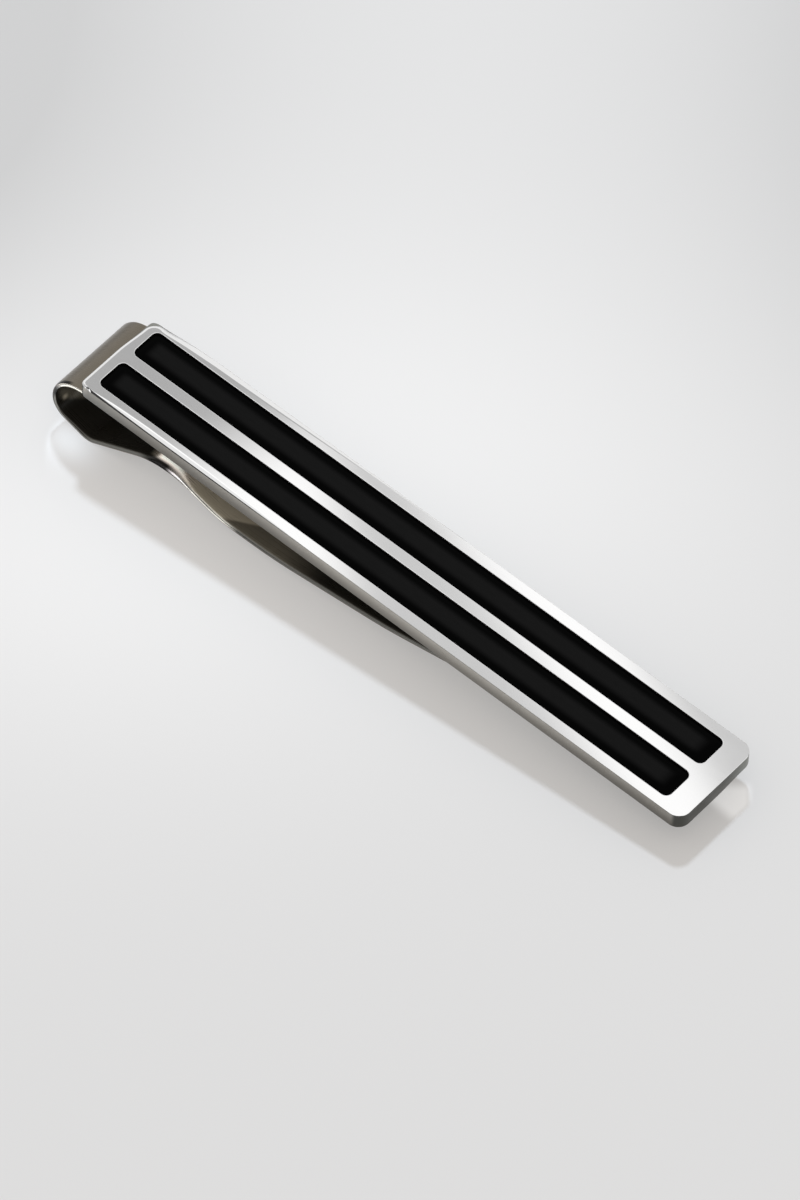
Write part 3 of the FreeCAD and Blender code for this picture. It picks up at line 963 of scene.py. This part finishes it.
DARK_RIM_Y, MARGIN_Y, TILT_Y = (-3.48, -3.36), (-3.4, -3.05), -3.4
ROLLING_LINES, SKIN_CLOUDS = (0.12, 16.0), (0.5, 0.7)
print("stretches of the strip with a tone of their own:", ", ".join(STRETCHES))

# %% Tones of the strip
# A tone all over, and the painted highlights, painted reflections and painted shade that the stretches and
# the marks add to it.
SKIN_TONE, CLOUD_GAIN, BAR_END_HIGHLIGHT_GAIN, TURN_HIGHLIGHT_GAIN = 0.127, 0.035, 0.1, 0.02
UNDER_TONE, LIT_BAND_GAIN, GLINT_GAIN, BELLY_REFLECTION_GAIN, LEG_REFLECTION_GAIN = 0.018, 0.13, 0.4, 0.5, 0.155
CUT_TONE, CUT_HIGHLIGHT_GAINS = 0.05, {"top": 0.93, "foot edge": 0.42, "leg edge": 0.36}
LIP_TONE = 0.02
LIP_HIGHLIGHT_GAINS = {"top": 0.9, "back lip": 0.25, "foot lip": 0.12, "belly lip": 0.96, "leg edge": 0.1}
LINE_RELIEF, PINCH_TILT, TOP_EDGE_TILT = 1.5e-5, 0.55, 0.6
print("brightest lip:", max(LIP_HIGHLIGHT_GAINS, key=LIP_HIGHLIGHT_GAINS.get))


# %% Spring steel finish
def spring_steel():
    """The skin outside and painted reflections and shade inside, with the painted highlights of the cut
    edges and lips mixed over both.
    """
    finish = Finish(bpy.data.materials.new("spring_steel"))
    along, y = finish.attribute("along"), finish.axis("Y")

    def between(value, rise, fall):
        """1 between two places, eased over a pair of marks at each."""
        return finish.ramp(value, *rise) - finish.ramp(value, *fall)

    def toned(tone, gains):
        """A tone that grows on some stretches."""
        return sum((gain * on[name] for name, gain in gains.items()), tone)

    def streaks(scale, detail):
        """Noise that follows the strip round its bends."""
        place = finish.node("ShaderNodeCombineXYZ", None, {"X": scale[0] * along, "Y": scale[1] * y})
        return finish.noise(place, detail)

    lines, clouds = streaks(ROLLING_LINES, 3.0), streaks(SKIN_CLOUDS, 4.0)
    on = {name: between(along, *marks) for name, marks in STRETCHES.items()}
    top, tilted = on["top"], on["pinch"]
    inside = finish.ramp(finish.attribute("inside"), 0.4, 0.6)
    lip = finish.ramp(finish.attribute("lip"), 0.3, 0.8)
    edge = finish.ramp(finish.attribute("cut_edge"), 0.5 + 0.2 * top, 0.9 + 0.05 * top)

    # Painted shade: dark rims along the near edge at the top's end and along the leg.
    painted_dark_rims = (1 - finish.ramp(y, *DARK_RIM_Y)) * (on["top end"] + on["leg rim"])
    # Painted highlights near the bar end and where the loop turns away; painted shade on the loop's back.
    skin = SKIN_TONE + CLOUD_GAIN * clouds + TURN_HIGHLIGHT_GAIN * finish.ramp(along, *TURN_HIGHLIGHT_RISE)
    skin += BAR_END_HIGHLIGHT_GAIN * (1 - finish.ramp(along, *BAR_END_HIGHLIGHT_FADE))
    skin *= (1 - 0.98 * painted_dark_rims) * (1 - 0.35 * on["back"])

    # Inside: painted reflections, a painted lit band, a painted glint and the bright pinch with a painted
    # shade margin, over a dark painted shade.
    painted_lit_band = between(along - LIT_BAND_SLANT * y, *LIT_BAND_ALONG) * between(y, *LIT_BAND_ACROSS)
    glint = on["glint"] * between(y, *GLINT_ACROSS)
    margin = on["pinch margin"] * (1 - finish.ramp(y, *MARGIN_Y))
    beyond = finish.ramp(along - MIRROR_SLANT * y, *MIRROR_EDGE)
    under = UNDER_TONE + LIT_BAND_GAIN * painted_lit_band + GLINT_GAIN * glint + tilted * (1 - margin)
    under += BELLY_REFLECTION_GAIN * finish.ramp(along, *BELLY_RISE) * (1 - beyond)
    under += LEG_REFLECTION_GAIN * beyond * (1 - finish.ramp(along, *LEG_FADE))

    # Painted highlights on the cut edges and their lips, stretch by stretch.
    cut = toned(CUT_TONE, CUT_HIGHLIGHT_GAINS)
    cut += lip * (toned(LIP_TONE, LIP_HIGHLIGHT_GAINS) - cut)

    faces = skin + (under - skin) * inside
    red = 1.14 - 0.06 * inside + 0.04 * tilted * inside - 0.06 * edge
    blue = 0.8 + 0.1 * tilted * inside + 0.12 * edge
    relief = LINE_RELIEF * lines + PINCH_TILT * tilted * inside * (y - TILT_Y)
    relief -= TOP_EDGE_TILT * top * edge * (finish.axis("Z") - carrier_high[2] / MM)
    return finish.surface(
        base_color=finish.shade(faces + (cut - faces) * edge, red, blue),
        metallic=1 - 0.75 * inside * (1 - edge) * (1 - tilted),
        roughness=0.22 + 0.07 * lines + 0.05 * clouds - 0.06 * edge,
        normal=finish.bump(relief, 1.0, MM),
    )


strip_steel = spring_steel()
for piece in (soldered_end, hairpin_loop, wavy_leg):
    piece.data.materials.append(strip_steel)

# %% [markdown]
# ## Glue and solder
#
# These films are almost out of sight, but a turned clip shows their edges, so they get simple finishes of
# their own on the frame's solids: cured epoxy with a little cloudiness, and dull tin.

# %% Hidden films
def cured_epoxy():
    finish = Finish(bpy.data.materials.new("cured_epoxy"))
    clouds = finish.noise(finish.stretched((2.0, 2.0, 2.0)), detail=4.0)
    return finish.surface(
        base_color=finish.mix(clouds, (0.5, 0.44, 0.3, 1.0), (0.6, 0.55, 0.42, 1.0)),
        roughness=0.35 + 0.2 * clouds,
    )


def dull_tin():
    finish = Finish(bpy.data.materials.new("dull_tin"))
    clouds = finish.noise(finish.stretched((3.0, 3.0, 3.0)), detail=4.0)
    return finish.surface(
        base_color=finish.mix(clouds, grey(0.5, 0.01), grey(0.62, 0.015)),
        metallic=1.0,
        roughness=0.4 + 0.2 * clouds,
    )


epoxy = cured_epoxy()
films = {"lower_inlay_glue": epoxy, "upper_inlay_glue": epoxy, "solder_joint": dull_tin()}
for node, film in films.items():
    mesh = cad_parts[node].data
    mesh.materials.clear()
    mesh.materials.append(film)

# %% [markdown]
# ## The camera
#
# The picture was taken with a long lens from above the near side, a good half metre away. The place was
# found by fitting the bar's edges and the corners of the inlays, so it is given as angles round a point
# on the bar's face.

# %% Camera
PICTURE_WIDTH, PICTURE_HEIGHT = 800, 1200
FOCAL_PIXELS = 10033.3
AZIMUTH, ELEVATION, ROLL = (math.radians(angle) for angle in (40.025, 54.706, 1.616))
DISTANCE = 700.82 * MM
LOOK_AT_SHIFT = Vector((1.345, -2.915, 0)) * MM
SENSOR_WIDTH = 36.0
CLIP_NEAR, CLIP_FAR = 0.01, 20.0
LOOK_AT = Vector((bar_low + bar_high) / 2) + LOOK_AT_SHIFT
LOOK_AT.z = face_z


def make_camera():
    """Turned by azimuth and elevation round the point, then rolled a little about the line of sight."""
    back = Vector((math.sin(AZIMUTH) * math.cos(ELEVATION), -math.cos(AZIMUTH) * math.cos(ELEVATION),
                   math.sin(ELEVATION)))
    level_right = Vector((math.cos(AZIMUTH), math.sin(AZIMUTH), 0))
    level_up = back.cross(level_right)
    right = level_right * math.cos(ROLL) + level_up * math.sin(ROLL)
    turn = Matrix((right, back.cross(right), back)).transposed()
    lens = bpy.data.cameras.new("camera")
    lens.sensor_width = SENSOR_WIDTH
    lens.lens = FOCAL_PIXELS * SENSOR_WIDTH / max(PICTURE_WIDTH, PICTURE_HEIGHT)
    lens.clip_start, lens.clip_end = CLIP_NEAR, CLIP_FAR
    camera = bpy.data.objects.new("camera", lens)
    camera.matrix_world = Matrix.Translation(LOOK_AT + back * DISTANCE) @ turn.to_4x4()
    bpy.context.scene.collection.objects.link(camera)
    bpy.context.scene.camera = camera
    print("camera at", [round(x / MM, 1) for x in camera.location], "mm, lens", round(lens.lens, 1), "mm")
    return camera


camera = make_camera()

# %% [markdown]
# ## The table
#
# The clip lies on its loop with the free end lower, so the table is a wide sheet tilted a few degrees
# under the bar. It is pale paper under a broad pool of light that fades towards the far corners. Polished
# metal also throws light back: beside both ends of the clip a faint patch fills the shadow. Path tracing
# finds such patches only as noise, so they are part of the paper's glow: a soft spot beside the loop,
# which has the lamp's tint, and a patch with straight sides beyond the free end.

# %% Table sizes and tones
TABLE_SLOPE = 0.068
TABLE_REACH = 3.0
TABLE_DROP = 0.01 * MM
TABLE_TONE, TABLE_FAR_TONE = 0.723, 0.6
POOL_GAIN, POOL_AT, POOL_REACH = 0.187, (-28.9, 9.9), (51.6, 22.8)
CORNER_SHADE, CORNER_MIDDLE, CORNER_RISE = 1.6e-4, 3.0, (-50, 50)
SCATTERED = 0.58
TABLE_LIGHT = 1.04
LIGHT_TINT = (0.885, 1.0, 1.125)

# Patches, in millimetres to the right and ahead; a side is the direction across it and two soft marks.
LOOP_PATCH_GAIN, LOOP_PATCH_LEAN = 0.29, 0.35
LOOP_PATCH_AT, LOOP_PATCH_REACH = (-23.8, 14.1), (2.0, 1.9)
LOOP_PATCH_BEGINS = ((1, 0), (-25.6, -25.0))
LOOP_PATCH_ENDS = ((-0.878, 0.478), (28.5, 29.5))
END_PATCH_GAIN = 0.2
END_PATCH_BEGINS = ((0.72, 0.7), (2.715, 3.815))
END_PATCH_SIDES = (((0.744, -0.668), (30.5, 31.2)), ((1, 0), (24.5, 25.3)), ((0, 1), (-17.4, -16.2)))
print("table rises", TABLE_SLOPE, "mm per mm towards the free end; paper tone", TABLE_TONE)


# %% Table
def make_table():
    """A flat grid through the loop's lowest point: z = slope (x - x of the foot)."""
    share = np.linspace(-TABLE_REACH, TABLE_REACH, 3)
    x, y = np.meshgrid(share, share, indexing="ij")
    foot_x = DRAWING[0] + foot[0]
    rows = np.stack([x, y, TABLE_SLOPE * (x - foot_x) - TABLE_DROP], axis=-1)
    table = make_piece("table", [(rows, False)])
    finish = Finish(bpy.data.materials.new("pale_paper"))
    place = finish.node("ShaderNodeTexCoord", output="Object")
    level_right = (math.cos(AZIMUTH) / MM, math.sin(AZIMUTH) / MM, 0)
    level_ahead = (-math.sin(AZIMUTH) / MM, math.cos(AZIMUTH) / MM, 0)
    right, ahead = (finish.node("ShaderNodeVectorMath", {"operation": "DOT_PRODUCT"}, {0: place, 1: way},
                                output="Value") for way in (level_right, level_ahead))

    def soft_spot(at, reach, lean=0.0):
        """exp(-(u/a)^2 - (w/b)^2) for u to the right of the spot and w ahead of it."""
        u = right - at[0]
        w = ahead - at[1] + lean * u
        return (0 - (u / reach[0]) ** 2 - (w / reach[1]) ** 2).exp()

    def past(way, marks):
        """0 before a soft straight line, 1 after it."""
        return finish.ramp(way[0] * right + way[1] * ahead, *marks)

    corners = CORNER_SHADE * (right - CORNER_MIDDLE) ** 2 * finish.ramp(ahead, *CORNER_RISE) ** 2
    tone = TABLE_TONE + POOL_GAIN * soft_spot(POOL_AT, POOL_REACH) - corners
    tone = tone.at_least(TABLE_FAR_TONE)
    loop_patch = LOOP_PATCH_GAIN * soft_spot(LOOP_PATCH_AT, LOOP_PATCH_REACH, LOOP_PATCH_LEAN)
    loop_patch *= past(*LOOP_PATCH_BEGINS) * (1 - past(*LOOP_PATCH_ENDS))
    end_patch = END_PATCH_GAIN * past(*END_PATCH_BEGINS)
    for way, marks in END_PATCH_SIDES:
        end_patch *= 1 - past(way, marks)
    paper = finish.node("ShaderNodeBsdfDiffuse", None, {"Color": finish.shade(SCATTERED * tone)})
    base = tone * (1 - SCATTERED * TABLE_LIGHT) + end_patch
    red, green, blue = (base + share * loop_patch for share in LIGHT_TINT)
    glow = finish.node("ShaderNodeCombineColor", None, {"Red": red, "Green": green, "Blue": blue})
    lift = finish.node("ShaderNodeEmission", None, {"Color": glow})
    both = finish.node("ShaderNodeAddShader", None, {0: paper, 1: lift})
    table.data.materials.append(finish.output(both))
    table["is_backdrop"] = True


make_table()

# %% [markdown]
# ## Softbox and room
#
# Two things light the picture. The room is an even pale glow, a little warm, which fills the shadow. A
# softbox behind and above the clip throws that shadow towards the viewer. More lamps could light the
# metal, but a mirror shows the room and not the lamp, so the room that metal sees is pale beyond the clip
# and dark on the viewer's side.

# %% Softbox and room
BACK_TO_LIGHT = Vector((-math.sin(AZIMUTH) * math.cos(ELEVATION), math.cos(AZIMUTH) * math.cos(ELEVATION),
                        math.sin(ELEVATION)))
SOFTBOX_DISTANCE = 0.6
SOFTBOX_SIZE = 0.06
SOFTBOX_POWER = 1.9
ROOM = 0.66
ROOM_WARMTH = 0.08
DARK_SIDE, DARK_RISE, DARK_ROOM = (0.25, -0.95, 0.1), (0.45, 0.7), 0.05


def make_softbox():
    """A disc lamp on the far side of the clip, as high as the camera and looking at the same point."""
    light = bpy.data.lights.new("softbox", "AREA")
    light.shape = "DISK"
    light.size = SOFTBOX_SIZE
    light.energy = SOFTBOX_POWER
    light.color = LIGHT_TINT
    softbox = bpy.data.objects.new("softbox", light)
    softbox.location = LOOK_AT + BACK_TO_LIGHT * SOFTBOX_DISTANCE
    softbox.rotation_euler = BACK_TO_LIGHT.to_track_quat("Z", "Y").to_euler()
    softbox.visible_glossy = False
    bpy.context.scene.collection.objects.link(softbox)
    print("softbox at", [round(x / MM) for x in softbox.location], "mm")


def make_room():
    """Even for the paper; for metal, pale beyond the clip and dark on the viewer's side."""
    finish = Finish(bpy.data.worlds.new("room"))
    bpy.context.scene.world = finish.owner
    way = finish.node("ShaderNodeTexCoord", output="Generated")
    facing = finish.node("ShaderNodeVectorMath", {"operation": "DOT_PRODUCT"},
                         {0: way, 1: DARK_SIDE}, output="Value")
    seen = finish.mix(finish.ramp(facing, *DARK_RISE), grey(1.0), grey(DARK_ROOM))
    metal = finish.node("ShaderNodeLightPath", output="Is Glossy Ray")
    camera_ray = finish.node("ShaderNodeLightPath", output="Is Camera Ray")
    glow = finish.mix(metal, grey(ROOM, ROOM_WARMTH), seen)
    shown = finish.mix(camera_ray, glow, grey(TABLE_TONE))
    background = finish.node("ShaderNodeBackground", None, {"Color": shown, "Strength": 1.0})
    finish.output(background, "ShaderNodeOutputWorld")


make_softbox()
make_room()

# %% [markdown]
# ## The card over the face
#
# A mirror shows what hangs over it, so a card hangs where the face looks: a bright panel with a slanting
# grey stripe and a darker left side. It could be painted by trial and error. Here it is built from points
# of the face, each sent up along its mirrored line of sight, so the stripe's place can be given in
# millimetres along the bar.

# %% Card over the face
CARD_HEIGHT = 330 * MM
CARD_LOW, CARD_HIGH = np.array([-46.0, -40.0]), np.array([102.0, 40.0])
STRIPE_START, STRIPE_START_SLANT, STRIPE_START_SOFT = 21.0, 1.1, 4.0
STRIPE_END, STRIPE_END_SLANT, STRIPE_END_SOFT = 37.8, 2.4, 6.5
FADE_AT, FADE_SLANT, FADE_SOFT = 55.3, 2.2, 4.5
DARK_UNTIL, DARK_SLANT, DARK_SOFT = 12.5, -0.5, 4.7
DARK_TONE, STRIPE_TONE, BRIGHT_TONE = 0.5, 0.7, 1.25
CARD_POINTS = 9


def make_card():
    """Card point = C + k (P - C) in plan, for face point P and camera C; k = 1 + height / camera height."""
    sides = (np.linspace(a, b, CARD_POINTS) for a, b in zip(CARD_LOW, CARD_HIGH))
    x, y = np.meshgrid(*sides, indexing="ij")
    spot = np.array(camera.location)
    scale = 1 + CARD_HEIGHT / (spot[2] - face_z)
    card_x = spot[0] + scale * (DRAWING[0] + x * MM - spot[0])
    card_y = spot[1] + scale * (y * MM - spot[1])
    rows = np.stack([card_x, card_y, np.full(x.shape, face_z + CARD_HEIGHT)], axis=-1)
    card = make_piece("mirror_card", [(rows, False)], {"face_x": [x.ravel()], "face_y": [y.ravel()]})
    finish = Finish(bpy.data.materials.new("card_glow"))
    along, across = finish.attribute("face_x"), finish.attribute("face_y")

    def past(spot, slant, soft):
        """0 before a soft line that leans across the bar, 1 after it."""
        return finish.ramp(along + slant * across, spot - soft, spot + soft)

    lit = past(DARK_UNTIL, DARK_SLANT, DARK_SOFT)
    stripe = past(STRIPE_START, STRIPE_START_SLANT, STRIPE_START_SOFT)
    stripe -= past(STRIPE_END, STRIPE_END_SLANT, STRIPE_END_SOFT)
    stripe += past(FADE_AT, FADE_SLANT, FADE_SOFT)
    bright = finish.mix(stripe, grey(BRIGHT_TONE), grey(STRIPE_TONE))
    tone = finish.mix(lit, grey(DARK_TONE), bright)
    glow = finish.node("ShaderNodeEmission", None, {"Color": tone, "Strength": 1.0})
    card.data.materials.append(finish.output(glow))
    card.visible_camera = card.visible_diffuse = card.visible_shadow = False
    card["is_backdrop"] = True


make_card()

# %% [markdown]
# ## A low strip of light
#
# The strip's bright lips see neither the card nor the softbox: they look out under the bar, towards the
# viewer and just above the table. A narrow glowing strip stands there, short enough that only the loop's
# half of the clip mirrors it.

# %% Low strip
LOW_STRIP_AWAY = 80.0
LOW_STRIP_WAY = (-0.37, -0.93)
LOW_STRIP_SPAN = (-16.0, 42.0)
LOW_STRIP_HEIGHT = (-5.0, 18.0)
LOW_STRIP_TONE = 1.6


def make_low_strip():
    """An upright rectangle in front of a span of the bar, set off along one level direction."""
    along, height = np.meshgrid(LOW_STRIP_SPAN, LOW_STRIP_HEIGHT, indexing="ij")
    x = along + LOW_STRIP_WAY[0] * LOW_STRIP_AWAY
    y = np.full(x.shape, bar_low[1] / MM + LOW_STRIP_WAY[1] * LOW_STRIP_AWAY)
    rows = np.stack([DRAWING[0] + x * MM, y * MM, DRAWING[2] + height * MM], axis=-1)
    strip = make_piece("low_strip", [(rows, False)])
    finish = Finish(bpy.data.materials.new("strip_glow"))
    glow = finish.node("ShaderNodeEmission", None, {"Color": grey(LOW_STRIP_TONE)})
    strip.data.materials.append(finish.output(glow))
    strip.visible_camera = strip.visible_diffuse = strip.visible_shadow = False
    strip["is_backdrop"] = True


make_low_strip()

# %% [markdown]
# ## Picture settings and hand-over
#
# The plain view transform shows each tone as it is written. The boxes of the frame and of the finished clip
# are kept side by side, and the finished size is printed.

# %% Picture settings and hand-over
bpy.context.scene.view_settings.view_transform = "Standard"
sizes = {"cad": [list(corner) for corner in cad_box], "visual": [list(corner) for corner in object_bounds()]}
print("finished size in mm:", [round((b - a) / MM, 2) for a, b in zip(*sizes["visual"])])
